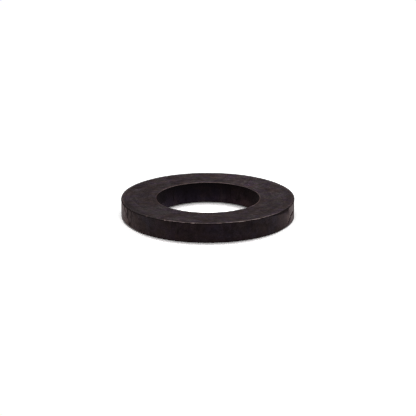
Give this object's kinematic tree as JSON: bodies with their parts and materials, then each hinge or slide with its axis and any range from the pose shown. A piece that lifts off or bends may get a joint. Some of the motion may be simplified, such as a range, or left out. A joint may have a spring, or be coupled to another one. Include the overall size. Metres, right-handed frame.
{
  "type": "flat washer",
  "caption": "Thick flat ring washer with a round central bore, crisp edges on one face and rounded edges on the other, in black oxide finished steel.",
  "frame": {"origin": "centre of the bore on the underside", "axes": "+Z along the bolt's axis, from the underside with rounded edges to the upper side with crisp edges; the washer is round about +Z, so +X is any radius"},
  "size_m": [0.039, 0.039, 0.0045],
  "materials": {
    "black_oxide_steel": "near-black oxide with a brown cast, soft sheen, worn to brown steel along the upper edges"
  },
  "bodies": {
    "root": {"flat_washer": "black_oxide_steel"}
  },
  "joints": []
}
